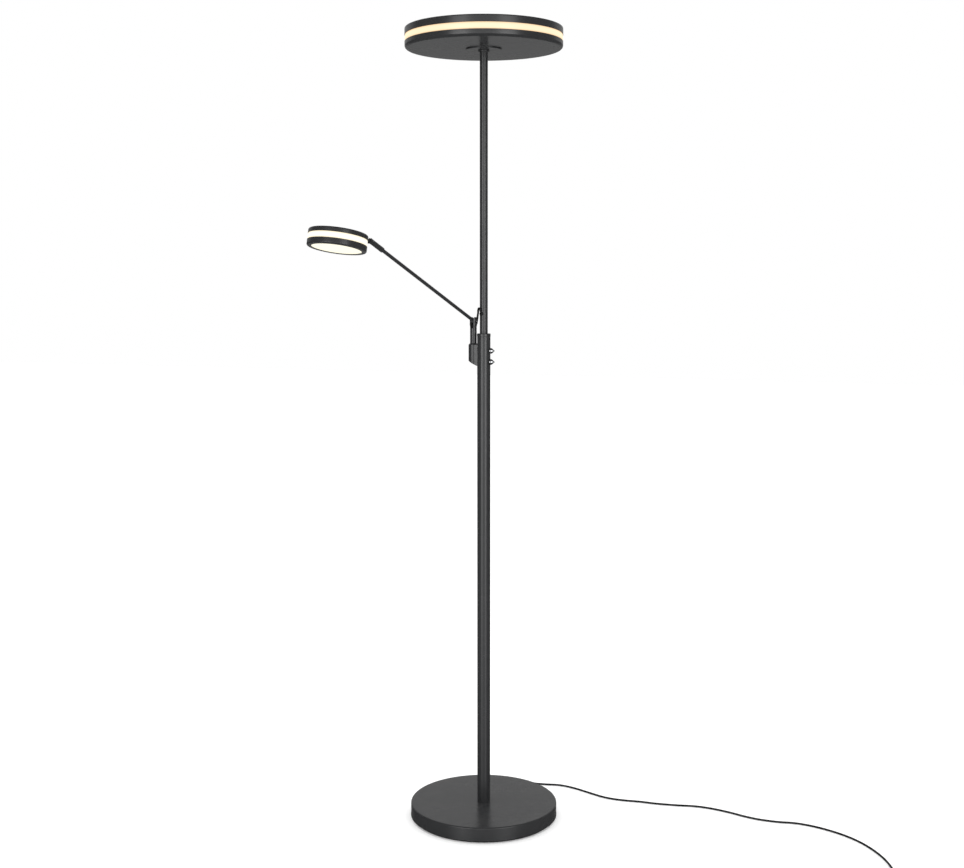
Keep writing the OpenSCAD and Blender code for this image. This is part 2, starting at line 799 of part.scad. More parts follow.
module reading_plate() color(steel)
    at_reader()
        difference() {
            ring(plate_r, 0, plate_t, plate_z);
            around(3, plate_screw_place_r, 60)
                translate([0, 0, plate_z - 1]) cylinder(r = 1.25, h = plate_t + 2, $fn = 32);
        }

module reading_leds() color("#ffe9a0")
    at_reader()
        for (row = [[12, plate_r - 14], [6, plate_r - 32]])
            around(row[0], row[1])
                translate([-1.75, -1.4, plate_z - 0.7]) cube([3.5, 2.8, 0.7]);

module plate_screws() color(steel)
    at_reader()
        around(3, plate_screw_place_r, 60)
            translate([0, 0, plate_z]) mirror([0, 0, 1]) screw(1.25, 8, 2.2, 1.4);

// ---- mains cord ----

module cord_gland() color(black)
    difference() {
        translate([0, base_r - cover_wall, gland_z])
            rotate([-90, 0, 0]) {
                translate([0, 0, -2.2]) cylinder(r = 6, h = 2);
                translate([0, 0, -1]) cylinder(r = cable_r + 1.6, h = cover_wall + 1);
                translate([0, 0, cover_wall])
                    cylinder(r1 = cable_r + 2.8, r2 = cable_r + 0.9, h = gland_l - cover_wall);
            }
        translate([0, base_r - 12, gland_z])
            rotate([-90, 0, 0]) cylinder(r = cable_r, h = gland_l + 20);
    }

module mains_cord() color(black)
    tube_along(spline(cord_route, 2), cable_r, cable_sides, [0, 0, 1]);

module cord_coil() color(black)
    translate([coil_at[0], coil_at[1], coil_lift])
        rotate_extrude()
            translate([coil_turn_r - cable_d - turn_gap, 0])
                square([2 * cable_d + 2 * turn_gap, 3 * cable_d]);

module cord_tail() color(black)
    tube_along(spline(cord_tail_route, 2), cable_r, cable_sides, [0, 0, 1]);

module cord_tie() color("#2c2c2e")
    translate([coil_at[0], coil_at[1], 0])
        rotate([0, 0, 20])
            translate([coil_turn_r, 0, 0])
                difference() {
                    translate([-cable_d - turn_gap - 0.9, -tie_w / 2, 0])
                        cube([2 * (cable_d + turn_gap + 0.9), tie_w, 3 * cable_d + 2 * coil_lift]);
                    translate([-cable_d - turn_gap - 0.3, -tie_w, coil_lift - 0.1])
                        cube([2 * (cable_d + turn_gap + 0.3), 2 * tie_w, 3 * cable_d + 0.2]);
                }

module mains_plug() color("#1f1f21")
    translate(plug_at)
        rotate([0, 0, plug_turn]) {
            rotate([0, 90, 0]) cylinder(r1 = cable_r + 0.8, r2 = cable_r + 2.6, h = plug_boot_l);
            translate([0, 0, -plug_t / 2])
                linear_extrude(height = plug_t)
                    polygon([
                        [plug_boot_l - 2, -6], [plug_boot_l + plug_l * 0.6, -plug_w / 2],
                        [plug_boot_l + plug_l, -plug_w / 2], [plug_boot_l + plug_l, plug_w / 2],
                        [plug_boot_l + plug_l * 0.6, plug_w / 2], [plug_boot_l - 2, 6]
                    ]);
            for (side = [-1, 1])
                translate([plug_boot_l + plug_l - 1, side * plug_pin_pitch / 2, 0])
                    rotate([0, 90, 0]) cylinder(r = plug_pin_d / 2, h = plug_pin_l + 1);
        }

base_pad();
base_weight();
base_cover();
base_spacer();
base_stud();
stud_nuts();
foot_ring();
foot_plug();
lower_tube();
pole_joiner();
pole_cap();
upper_tube();
cable_grommet();
top_plug();
head_nipple();
head_collar();
head_flange();
flange_screws();
uplight_pan();
uplight_tray();
tray_screws();
uplight_board();
uplight_leds();
uplight_driver();
band_diffuser();
top_rim();
top_diffuser();
uplight_dimmer();
reading_dimmer();
uplight_knob();
reading_knob();
arm_bracket();
bracket_screws();
spigot_bush();
arm_spigot();
spigot_clip();
pivot_screws();
arm_knuckle();
friction_washers();
arm_rod();
tail_gland();
loop_cable_upper();
loop_cable_lower();
head_sleeve();
tilt_pin();
head_lug();
lug_screws();
reading_shell();
reading_band();
reading_ring();
reading_diffuser();
reading_plate();
reading_leds();
plate_screws();
cord_gland();
mains_cord();
cord_coil();
cord_tie();
cord_tail();
mains_plug();
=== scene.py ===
import json
import math

import bmesh
import bpy
from mathutils import Matrix, Vector


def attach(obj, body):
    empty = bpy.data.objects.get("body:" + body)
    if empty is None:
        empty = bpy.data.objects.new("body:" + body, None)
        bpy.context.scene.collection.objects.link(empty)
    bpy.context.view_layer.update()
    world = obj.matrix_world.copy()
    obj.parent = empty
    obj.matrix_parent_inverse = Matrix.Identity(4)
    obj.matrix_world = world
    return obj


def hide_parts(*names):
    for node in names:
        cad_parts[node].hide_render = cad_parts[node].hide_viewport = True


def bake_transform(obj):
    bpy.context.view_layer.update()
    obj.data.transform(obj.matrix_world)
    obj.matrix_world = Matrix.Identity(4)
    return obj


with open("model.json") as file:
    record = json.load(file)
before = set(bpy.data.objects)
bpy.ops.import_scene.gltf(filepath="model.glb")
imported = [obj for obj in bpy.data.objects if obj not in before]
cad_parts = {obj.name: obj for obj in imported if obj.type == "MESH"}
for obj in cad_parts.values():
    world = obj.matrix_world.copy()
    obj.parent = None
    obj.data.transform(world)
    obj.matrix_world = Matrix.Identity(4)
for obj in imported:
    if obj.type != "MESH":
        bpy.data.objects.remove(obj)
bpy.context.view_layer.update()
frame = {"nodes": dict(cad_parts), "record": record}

mm = 0.001
nodes = frame["nodes"]
print("scene: frame loaded,", len(nodes), "CAD nodes")


# ---- camera ----
cameraSet = {
    "place": (1.0803, -2.9799, 1.25446),
    "turn": 20.0,        # degrees about Z
    "pitch": 0.11152,    # radians below level
    "lens": 52.31,
    "sensor": 36.0,
}
cameraData = bpy.data.cameras.new("studioCamera")
cameraData.lens = cameraSet["lens"]
cameraData.sensor_width = cameraSet["sensor"]
cameraData.clip_end = 60
camera = bpy.data.objects.new("studioCamera", cameraData)
camera.location = cameraSet["place"]
camera.rotation_euler = (
    math.radians(90) - cameraSet["pitch"], 0, math.radians(cameraSet["turn"]),
)
bpy.context.scene.collection.objects.link(camera)
bpy.context.scene.camera = camera


# ---- tubes swept along a smooth line ----
def millimetres(points):
    return [Vector(p) * mm for p in points]


def smoothLine(points, steps):
    line = []
    last = len(points) - 1
    for i in range(last):
        a, b, c, d = points[max(i - 1, 0)], points[i], points[i + 1], points[min(i + 2, last)]
        for s in range(steps):
            t = s / steps
            line.append(0.5 * (2 * b + (c - a) * t + (2 * a - 5 * b + 4 * c - d) * t ** 2
                               + (3 * b - a - 3 * c + d) * t ** 3))
    line.append(points[last])
    return line


def sweptTube(name, line, diameter, roundness):
    curve = bpy.data.curves.new(name + "Line", "CURVE")
    curve.dimensions = "3D"
    curve.bevel_depth = diameter / 2
    curve.bevel_resolution = roundness
    curve.use_fill_caps = True
    spline = curve.splines.new("POLY")
    spline.points.add(len(line) - 1)
    for point, place in zip(spline.points, line):
        point.co = (*place, 1)
    carrier = bpy.data.objects.new(name + "Line", curve)
    bpy.context.scene.collection.objects.link(carrier)
    bpy.context.view_layer.update()
    ready = carrier.evaluated_get(bpy.context.evaluated_depsgraph_get())
    mesh = bpy.data.meshes.new_from_object(ready)
    bpy.data.objects.remove(carrier)
    piece = bpy.data.objects.new(name, mesh)
    bpy.context.scene.collection.objects.link(piece)
    for face in mesh.polygons:
        face.use_smooth = len(face.vertices) == 4
    return piece


# ---- mains cord ----
cordSet = {
    "diameter": 4.5,
    "length": 2.0,       # metres
    "exit": (0, 170, 12),
    "coilCentre": (973, -48),
    "coilStart": 200,    # degrees, where the first turn begins
    "slots": [(28.25, 3.15), (23.75, 3.15), (23.75, 7.65), (28.25, 7.65), (28.25, 12.15)],
    "turnSteps": 36,
    "shiftSpan": 80,     # degrees over which a turn moves to the next slot
}
cordRoute = [
    (0, 168, 12), (0, 182, 12), (0, 196, 12), (3, 208, 11), (11, 218, 9),
    (23, 224, 6), (40, 227, 4), (58, 230, 2.5), (82, 234, 2.3), (114, 240, 2.3),
    (152, 233, 2.3), (199, 214, 2.3), (241, 198, 2.3), (283, 195, 2.3), (327, 200, 2.3),
    (363, 201, 2.3), (411, 207, 2.3), (456, 216, 2.3), (498, 215, 2.3), (543, 205, 2.3),
    (579, 193, 2.3), (615, 186, 2.3), (656, 186, 2.3), (694, 192, 2.3), (733, 188, 2.3),
    (771, 176, 2.3), (810, 157, 2.3), (848, 128, 2.3), (880, 91, 2.3), (905, 51, 2.3),
    (924, 6, 2.3), (934, -22, 2.6), (943, -47, 3.2),
]
cordTail = [
    (950, -69, 12.2), (954, -80, 11.4), (959, -93, 9), (963, -104, 7.4), (968, -117, 7),
]


def coilLine(settings):
    slots, steps, span = settings["slots"], settings["turnSteps"], settings["shiftSpan"]
    line = []
    for turn, slot in enumerate(slots):
        following = slots[min(turn + 1, len(slots) - 1)]
        shiftEnd = 360 - span * turn   # upper turns shift first, so that no two meet
        for step in range(steps):
            angle = 360 * step / steps
            share = min(max((angle - shiftEnd + span) / span, 0), 1)
            share = share * share * (3 - 2 * share)
            radius = slot[0] + (following[0] - slot[0]) * share
            height = slot[1] + (following[1] - slot[1]) * share
            heading = math.radians(settings["coilStart"] + angle)
            line.append(Vector((settings["coilCentre"][0] + radius * math.cos(heading),
                                settings["coilCentre"][1] + radius * math.sin(heading),
                                height)) * mm)
    heading = math.radians(settings["coilStart"])
    radius, height = slots[-1]
    line.append(Vector((settings["coilCentre"][0] + radius * math.cos(heading),
                        settings["coilCentre"][1] + radius * math.sin(heading), height)) * mm)
    return line


cordLine = smoothLine(millimetres(cordRoute) + coilLine(cordSet) + millimetres(cordTail), 3)
mainsCord = sweptTube("mainsCord", cordLine, cordSet["diameter"] * mm, 4)
print("scene: cord laid, %.3f m" % sum((b - a).length for a, b in zip(cordLine, cordLine[1:])))


# ---- shader helpers ----
def put(tree, kind, inputs=None, **settings):
    node = tree.nodes.new("ShaderNode" + kind)
    for key, value in settings.items():
        setattr(node, key, value)
    for key, value in (inputs or {}).items():
        if isinstance(value, bpy.types.NodeSocket):
            tree.links.new(value, node.inputs[key])
        else:
            node.inputs[key].default_value = value
    return node


def newGroup(name, inputs, outputs):
    tree = bpy.data.node_groups.new(name, "ShaderNodeTree")
    for label, value in inputs.items():
        socket = tree.interface.new_socket(label, in_out="INPUT", socket_type="NodeSocketFloat")
        socket.default_value = value
    for label in outputs:
        tree.interface.new_socket(label, in_out="OUTPUT", socket_type="NodeSocketFloat")
    return tree, tree.nodes.new("NodeGroupInput"), tree.nodes.new("NodeGroupOutput")


def useGroup(tree, group, **values):
    node = tree.nodes.new("ShaderNodeGroup")
    node.node_tree = group
    for key, value in values.items():
        node.inputs[key].default_value = value
    return node


def ramp(tree, factor, low, high, start=0.0, end=1.0):
    node = put(tree, "ValToRGB", {"Fac": factor})
    node.color_ramp.elements[0].position = start
    node.color_ramp.elements[0].color = (*low, 1)
    node.color_ramp.elements[1].position = end
    node.color_ramp.elements[1].color = (*high, 1)
    return node.outputs["Color"]


def between(tree, factor, low, high):
    return put(tree, "MapRange", {"Value": factor, "To Min": low, "To Max": high}).outputs[0]


# fine grain over slow blotches, both in object space
grainGroup, grainIn, grainOut = newGroup(
    "fineGrain", {"Grain": 900.0, "Blotch": 14.0}, ["Fine", "Slow", "Height"])
place = put(grainGroup, "TexCoord").outputs["Object"]
fine = put(grainGroup, "TexNoise", {"Vector": place, "Scale": grainIn.outputs["Grain"],
                                    "Detail": 3.0, "Roughness": 0.6})
peel = put(grainGroup, "TexVoronoi", {"Vector": place, "Scale": grainIn.outputs["Grain"]},
           feature="SMOOTH_F1")
slow = put(grainGroup, "TexNoise", {"Vector": place, "Scale": grainIn.outputs["Blotch"],
                                    "Detail": 4.0, "Roughness": 0.55})
mixedHeight = put(grainGroup, "Math", {0: fine.outputs[0], 1: peel.outputs["Distance"]},
                  operation="ADD")
grainGroup.links.new(fine.outputs[0], grainOut.inputs["Fine"])
grainGroup.links.new(slow.outputs[0], grainOut.inputs["Slow"])
grainGroup.links.new(mixedHeight.outputs[0], grainOut.inputs["Height"])

# wear where the surface turns a corner
wearGroup, wearIn, wearOut = newGroup(
    "edgeWear", {"Width": 0.0008, "Broken": 160.0}, ["Mask"])
rounded = put(wearGroup, "Bevel", {"Radius": wearIn.outputs["Width"]}, samples=4)
facing = put(wearGroup, "NewGeometry").outputs["Normal"]
agree = put(wearGroup, "VectorMath", {0: rounded.outputs[0], 1: facing},
            operation="DOT_PRODUCT")
edge = put(wearGroup, "MapRange", {"Value": agree.outputs["Value"], "From Min": 0.98,
                                   "From Max": 0.86})
patchy = put(wearGroup, "TexNoise", {"Vector": put(wearGroup, "TexCoord").outputs["Object"],
                                     "Scale": wearIn.outputs["Broken"], "Detail": 3.0})
brokenUp = put(wearGroup, "MapRange", {"Value": patchy.outputs[0], "From Min": 0.38,
                                       "From Max": 0.62})
worn = put(wearGroup, "Math", {0: edge.outputs[0], 1: brokenUp.outputs[0]},
           operation="MULTIPLY")
wearGroup.links.new(worn.outputs[0], wearOut.inputs["Mask"])

# thin dust on what faces up
dustGroup, dustIn, dustOut = newGroup("settledDust", {"Amount": 0.3}, ["Mask"])
upward = put(dustGroup, "SeparateXYZ", {0: put(dustGroup, "TexCoord").outputs["Normal"]})
onTop = put(dustGroup, "MapRange", {"Value": upward.outputs["Z"], "From Min": 0.6})
speck = put(dustGroup, "TexNoise", {"Vector": put(dustGroup, "TexCoord").outputs["Object"],
                                    "Scale": 45.0, "Detail": 6.0, "Roughness": 0.7})
gather = put(dustGroup, "MapRange", {"Value": speck.outputs[0], "From Min": 0.45,
                                     "From Max": 0.75})
dusty = put(dustGroup, "Math", {0: onTop.outputs[0], 1: gather.outputs[0]},
            operation="MULTIPLY")
faint = put(dustGroup, "Math", {0: dusty.outputs[0], 1: dustIn.outputs["Amount"]},
            operation="MULTIPLY")
dustGroup.links.new(faint.outputs[0], dustOut.inputs["Mask"])


def newFinish(name):
    material = bpy.data.materials.new(name)
    material.use_nodes = True
    tree = material.node_tree
    shader = tree.nodes["Principled BSDF"]
    return material, tree, shader


def finish(name, low, high, roughness, grain=900.0, blotch=14.0, bump=0.1, depth=0.00004,
           wear=None, wearColour=None, dust=0.0, metallic=0.0, specular=0.5):
    material, tree, shader = newFinish(name)
    texture = useGroup(tree, grainGroup, Grain=grain, Blotch=blotch)
    both = put(tree, "Math", {0: texture.outputs["Fine"], 1: texture.outputs["Slow"],
                              2: 0.5}, operation="MULTIPLY_ADD")
    half = put(tree, "Math", {0: both.outputs[0], 1: 0.65}, operation="MULTIPLY")
    colour = ramp(tree, half.outputs[0], low, high, 0.35, 0.65)
    rough = between(tree, half.outputs[0], *roughness)
    if wear:
        edges = useGroup(tree, wearGroup, Width=wear)
        colour = put(tree, "Mix", {"Factor": edges.outputs["Mask"], 6: colour,
                                   7: (*wearColour, 1)}, data_type="RGBA").outputs[2]
        rough = put(tree, "Math", {0: edges.outputs["Mask"], 1: -0.12, 2: rough},
                    operation="MULTIPLY_ADD").outputs[0]
    if dust:
        film = useGroup(tree, dustGroup, Amount=dust)
        colour = put(tree, "Mix", {"Factor": film.outputs["Mask"], 6: colour,
                                   7: (0.32, 0.30, 0.28, 1)}, data_type="RGBA").outputs[2]
    relief = put(tree, "Bump", {"Strength": bump, "Distance": depth,
                                "Height": texture.outputs["Height"]})
    tree.links.new(colour, shader.inputs["Base Color"])
    tree.links.new(rough, shader.inputs["Roughness"])
    tree.links.new(relief.outputs[0], shader.inputs["Normal"])
    shader.inputs["Metallic"].default_value = metallic
    shader.inputs["Specular IOR Level"].default_value = specular
    return material


powderCoat = finish("powderCoat", (0.0225, 0.023, 0.024), (0.029, 0.0295, 0.031),
                    (0.23, 0.31), grain=1500.0, blotch=9.0, bump=0.16, depth=0.00003,
                    wear=0.0007, wearColour=(0.050, 0.051, 0.053), dust=0.04)
zincSteel = finish("zincSteel", (0.50, 0.51, 0.52), (0.62, 0.62, 0.61), (0.28, 0.45),
                   grain=700.0, blotch=60.0, bump=0.15, metallic=1.0,
                   wear=0.0004, wearColour=(0.72, 0.72, 0.71))
castIron = finish("castIron", (0.06, 0.06, 0.06), (0.13, 0.125, 0.12), (0.6, 0.85),
                  grain=350.0, blotch=30.0, bump=0.6, depth=0.0002, metallic=0.6)
softPad = finish("softPad", (0.010, 0.010, 0.010), (0.022, 0.022, 0.022), (0.85, 0.98),
                 grain=600.0, blotch=25.0, bump=0.7, depth=0.00015, specular=0.2)
heatSink = finish("heatSink", (0.60, 0.61, 0.62), (0.72, 0.72, 0.72), (0.3, 0.5),
                  grain=500.0, blotch=20.0, bump=0.15, metallic=1.0)
boardWhite = finish("boardWhite", (0.78, 0.78, 0.74), (0.86, 0.86, 0.83), (0.35, 0.5),
                    grain=800.0, blotch=20.0)
driverCase = finish("driverCase", (0.72, 0.72, 0.70), (0.82, 0.82, 0.80), (0.45, 0.6),
                    grain=900.0, blotch=18.0)
dimmerCase = finish("dimmerCase", (0.03, 0.05, 0.03), (0.05, 0.08, 0.05), (0.4, 0.6),
                    grain=900.0, blotch=60.0)
nylonBlack = finish("nylonBlack", (0.014, 0.014, 0.015), (0.026, 0.026, 0.027), (0.35, 0.5),
                    grain=900.0, blotch=60.0)
cableRubber = finish("cableRubber", (0.006, 0.006, 0.0065), (0.013, 0.013, 0.0135),
                     (0.42, 0.6), grain=1100.0, blotch=30.0, bump=0.25, specular=0.3)
plugPlastic = finish("plugPlastic", (0.012, 0.012, 0.013), (0.024, 0.024, 0.025),
                     (0.38, 0.55), grain=1300.0, blotch=40.0, bump=0.3,
                     wear=0.0006, wearColour=(0.05, 0.05, 0.05))
chrome = finish("chrome", (0.72, 0.73, 0.75), (0.80, 0.81, 0.83), (0.05, 0.12),
                grain=400.0, blotch=90.0, bump=0.03, depth=0.00001, metallic=1.0,
                wear=0.0003, wearColour=(0.86, 0.86, 0.87))


def glowing(name, colour, lipShadeColour, strength, turnBack, half, roughness):
    material, tree, shader = newFinish(name)
    # height over the band's middle, in the band's own frame
    own = put(tree, "Mapping", {"Vector": put(tree, "TexCoord").outputs["Object"]},
              vector_type="TEXTURE")
    own.inputs["Location"].default_value = turnBack.to_translation()
    own.inputs["Rotation"].default_value = turnBack.to_euler()
    split = put(tree, "SeparateXYZ", {0: own.outputs[0]})
    height = put(tree, "Math", {0: split.outputs["Z"]}, operation="ABSOLUTE")
    # painted shade: towards the band's top and bottom edges the emitted colour turns darker and more
    # orange, standing in for the shade of the metal lips
    lipShadeMask = put(tree, "MapRange", {"Value": height.outputs[0], "From Min": half * 0.45,
                                      "From Max": half}, interpolation_type="SMOOTHSTEP")
    texture = useGroup(tree, grainGroup, Grain=260.0, Blotch=11.0)
    cloudy = put(tree, "MapRange", {"Value": texture.outputs["Slow"], "From Min": 0.3,
                                    "From Max": 0.7, "To Min": -0.12, "To Max": 0.12})
    total = put(tree, "Math", {0: lipShadeMask.outputs[0], 1: cloudy.outputs[0]},
                operation="ADD", use_clamp=True)
    glow = ramp(tree, total.outputs[0], colour, lipShadeColour)
    tree.links.new(glow, shader.inputs["Emission Color"])
    shader.inputs["Emission Strength"].default_value = strength
    body = ramp(tree, texture.outputs["Slow"], (0.09, 0.088, 0.075), (0.12, 0.116, 0.10),
                0.35, 0.65)
    tree.links.new(body, shader.inputs["Base Color"])
    tree.links.new(between(tree, texture.outputs["Fine"], *roughness),
                   shader.inputs["Roughness"])
    relief = put(tree, "Bump", {"Strength": 0.08, "Distance": 0.00003,
                                "Height": texture.outputs["Height"]})
    tree.links.new(relief.outputs[0], shader.inputs["Normal"])
    return material


print("scene: finishes mixed")


# ---- mesh helpers ----
def placed(name, shape, place, body, slotName, material, *replaced, smooth=32):
    shape.transform(Matrix.Scale(mm, 4) @ place)
    bmesh.ops.remove_doubles(shape, verts=shape.verts, dist=1e-7)
    bmesh.ops.recalc_face_normals(shape, faces=shape.faces)
    mesh = bpy.data.meshes.new(name)
    shape.to_mesh(mesh)
    shape.free()
    for face in mesh.polygons:
        face.use_smooth = True
    mesh.set_sharp_from_angle(angle=math.radians(smooth))
    mesh.materials.append(material)
    piece = bpy.data.objects.new(name, mesh)
    bpy.context.scene.collection.objects.link(piece)
    even = piece.modifiers.new("evenShading", "WEIGHTED_NORMAL")  # flat faces stay flat
    even.keep_sharp = True
    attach(piece, body)
    if replaced:
        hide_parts(*replaced)
    return piece


def turnedShape(profile, steps=128, closed=True):
    shape = bmesh.new()
    points = [shape.verts.new((p[0], 0, p[1])) for p in profile]
    for a, b in zip(points, points[1:]):
        shape.edges.new((a, b))
    if closed:
        shape.edges.new((points[-1], points[0]))
    for size in sorted({p[2] for p in profile if len(p) > 2}):
        corners = [v for v, p in zip(points, profile) if len(p) > 2 and p[2] == size]
        bmesh.ops.bevel(shape, geom=corners, offset=size, segments=5 if size > 1 else 3,
                        profile=0.5, affect="VERTICES", material=-1)
    bmesh.ops.spin(shape, geom=shape.verts[:] + shape.edges[:], cent=(0, 0, 0),
                   axis=(0, 0, 1), angle=2 * math.pi, steps=steps, use_merge=True)
    bmesh.ops.remove_doubles(shape, verts=shape.verts, dist=1e-5)
    return shape


def softenedCopy(name, node, width, body, slotName, material):
    shape = bmesh.new()
    shape.from_mesh(nodes[node].data)
    bmesh.ops.remove_doubles(shape, verts=shape.verts, dist=1e-6)
    bmesh.ops.dissolve_limit(shape, angle_limit=math.radians(1.5), verts=shape.verts,
                             edges=shape.edges)
    shape.transform(Matrix.Scale(1 / mm, 4))
    sharp = [e for e in shape.edges
             if len(e.link_faces) == 2 and e.calc_face_angle(0) > math.radians(38)]
    bmesh.ops.bevel(shape, geom=sharp, offset=width, segments=2, profile=0.5,
                    affect="EDGES", material=-1, clamp_overlap=True)
    return placed(name, shape, Matrix.Identity(4), body, slotName, material, node)


upright = Matrix.Identity(4)
jointSet = {
    "pivot": (-25, 0, 1156.5), "turn": 254, "rise": 25.8, "tiltPin": 391.3,
    "headRise": 11.6, "neck": 41, "neckRise": 21.1, "headRadius": 60,
}
armAt = (Matrix.Translation(jointSet["pivot"])
         @ Matrix.Rotation(math.radians(jointSet["turn"]), 4, "Z")
         @ Matrix.Rotation(math.radians(-jointSet["rise"]), 4, "Y"))
alongX = Matrix.Rotation(math.radians(90), 4, "Y")
readerAt = (armAt @ Matrix.Translation((jointSet["tiltPin"], 0, 0))
            @ Matrix.Rotation(math.radians(jointSet["rise"] - jointSet["headRise"]), 4, "Y")
            @ Matrix.Translation((jointSet["neck"] + jointSet["headRadius"], 0,
                                  -jointSet["neckRise"])))

# ---- base ----
baseSet = {
    "radius": 170, "top": 36, "pad": 5, "padInset": 6, "wall": 1.2, "edge": 3,
    "hem": 0.5, "hemHeight": 1.6, "hole": 5.2, "grooves": (60, 95, 130),
}


def basePadProfile(sizes):
    rim = sizes["radius"] - sizes["padInset"]
    points = [(0, 0)]
    for groove in sizes["grooves"]:
        points += [(groove, 0), (groove, 0.8), (groove + 4, 0.8), (groove + 4, 0)]
    return points + [(rim, 0, 0.8), (rim, sizes["pad"], 0.4), (0, sizes["pad"])]


def baseCoverProfile(sizes):
    r, top, wall, low = sizes["radius"], sizes["top"], sizes["wall"], sizes["pad"]
    return [
        (sizes["hole"], top), (r, top, sizes["edge"]), (r, low + sizes["hemHeight"] + 0.5, 0.2),
        (r + sizes["hem"], low + sizes["hemHeight"], 0.25), (r + sizes["hem"], low, 0.5),
        (r - wall, low, 0.4), (r - wall, top - wall, sizes["edge"] - wall),
        (sizes["hole"], top - wall),
    ]


placed("basePad", turnedShape(basePadProfile(baseSet), 128, False), upright, "stand",
       "soft_pad", softPad, "base_pad")
placed("baseCover", turnedShape(baseCoverProfile(baseSet), 256), upright, "stand",
       "powder_coat", powderCoat, "base_cover")

# ---- pole ----
pole = {
    "lowerRadius": 15, "lowerWall": 1.5, "upperRadius": 9, "upperWall": 1.2,
    "footTop": 40, "capLow": 1121, "capTop": 1128, "capLip": 0.35,
    "upperFoot": 1100, "upperTop": 1752.5, "ringLow": 36, "boltHole": 5.2,
    "collarRadius": 12.25, "collarHeight": 4, "flangeRadius": 40, "flangeHeight": 2.5,
}


def tubeProfile(radius, wall, low, high, softness=0.3):
    return [(radius - wall, low), (radius, low, softness), (radius, high, softness),
            (radius - wall, high)]


ringRadius = pole["lowerRadius"] + 0.05
placed("footRing", turnedShape([
    (pole["boltHole"], pole["ringLow"]), (ringRadius, pole["ringLow"], 0.25),
    (ringRadius, pole["footTop"], 0.5), (pole["boltHole"], pole["footTop"])]),
       upright, "stand", "powder_coat", powderCoat, "foot_ring")
placed("lowerTube", turnedShape(tubeProfile(pole["lowerRadius"], pole["lowerWall"],
                                            pole["footTop"], pole["capLow"], 0.4)),
       upright, "stand", "powder_coat", powderCoat, "lower_tube")
capRadius = pole["lowerRadius"] + pole["capLip"]
placed("poleCap", turnedShape([
    (pole["upperRadius"], pole["capLow"]), (capRadius, pole["capLow"], 0.4),
    (capRadius, pole["capTop"], 1.3), (pole["upperRadius"], pole["capTop"])]),
       upright, "stand", "powder_coat", powderCoat, "pole_cap")
placed("upperTube", turnedShape(tubeProfile(pole["upperRadius"], pole["upperWall"],
                                            pole["upperFoot"], pole["upperTop"]), 96),
       upright, "stand", "powder_coat", powderCoat, "upper_tube")
collarLow = pole["upperTop"] - pole["collarHeight"]
placed("headCollar", turnedShape([
    (pole["upperRadius"], collarLow), (pole["collarRadius"], collarLow, 0.9),
    (pole["collarRadius"], pole["upperTop"], 0.3), (pole["upperRadius"], pole["upperTop"])]),
       upright, "stand", "powder_coat", powderCoat, "head_collar")
flangeTop = pole["upperTop"] + pole["flangeHeight"]
placed("headFlange", turnedShape([
    (pole["boltHole"], pole["upperTop"]), (pole["flangeRadius"], pole["upperTop"], 0.7),
    (pole["flangeRadius"], flangeTop, 0.2), (pole["boltHole"], flangeTop)], 160),
       upright, "stand", "powder_coat", powderCoat, "head_flange")
print("scene: base and pole turned")

# ---- uplight ----
uplight = {
    "radius": 175, "sheet": 1.2, "edge": 3, "ledge": 5.5, "lip": 7,
    "panEdge": 6.5, "panLow": 1755, "bandLow": 1770, "rimLow": 1784, "top": 1800,
    "bandOuter": 174, "bandWall": 2.5, "crown": 0.5, "diffuser": 2, "stemHole": 5.2,
}


def panProfile(radius, low, high, sheet, edge, hole, ledge):
    inside = [(radius - sheet, low + sheet, edge - sheet), (radius - sheet, high - sheet),
              (radius - ledge, high - sheet), (radius - ledge, high)]
    return ([(hole, low + sheet)] + inside
            + [(radius, high, 0.3), (radius, low, edge), (hole, low)])


def bandProfile(outer, wall, low, high, crown):
    middle = (low + high) / 2
    return [(outer - wall, low), (outer, low, 0.2), (outer + crown * 0.8, low * 0.6 + middle * 0.4),
            (outer + crown, middle), (outer + crown * 0.8, high * 0.6 + middle * 0.4),
            (outer, high, 0.2), (outer - wall, high)]


def plateProfile(radius, low, high):
    return [(0, low), (radius, low), (radius, high, 0.3), (0, high)]


bandMiddle = (uplight["bandLow"] + uplight["rimLow"]) / 2 * mm
# the second colour of each glow is the painted lip shade at the band's edges
bandGlow = glowing("bandGlow", (0.97, 0.81, 0.54), (0.95, 0.62, 0.33), 1.0,
                   Matrix.Translation((0, 0, bandMiddle)), 0.0072, (0.3, 0.45))
topGlow = glowing("topGlow", (0.96, 0.90, 0.66), (0.92, 0.74, 0.46), 1.0,
                  Matrix.Translation((0, 0, 1.7985)), 0.01, (0.35, 0.5))
placed("uplightPan", turnedShape(panProfile(uplight["radius"], uplight["panLow"],
                                            uplight["bandLow"], uplight["sheet"],
                                            uplight["panEdge"], uplight["stemHole"],
                                            uplight["ledge"]), 256),
       upright, "stand", "powder_coat", powderCoat, "uplight_pan")
placed("bandDiffuser", turnedShape(bandProfile(uplight["bandOuter"], uplight["bandWall"],
                                               uplight["bandLow"], uplight["rimLow"],
                                               uplight["crown"]), 256),
       upright, "stand", "opal", bandGlow, "band_diffuser")
flip = (Matrix.Translation((0, 0, uplight["top"] + uplight["rimLow"]))
        @ Matrix.Scale(-1, 4, (0, 0, 1)))
placed("topRim", turnedShape(panProfile(uplight["radius"], uplight["rimLow"], uplight["top"],
                                        uplight["sheet"], uplight["edge"],
                                        uplight["radius"] - uplight["lip"],
                                        uplight["ledge"]), 256),
       flip, "stand", "powder_coat", powderCoat, "top_rim")
placed("topDiffuser", turnedShape(plateProfile(uplight["radius"] - uplight["edge"],
                                               uplight["top"] - uplight["sheet"] - uplight["diffuser"],
                                               uplight["top"] - uplight["sheet"]), 192, False),
       upright, "stand", "opal", topGlow, "top_diffuser")
print("scene: uplight pressed")

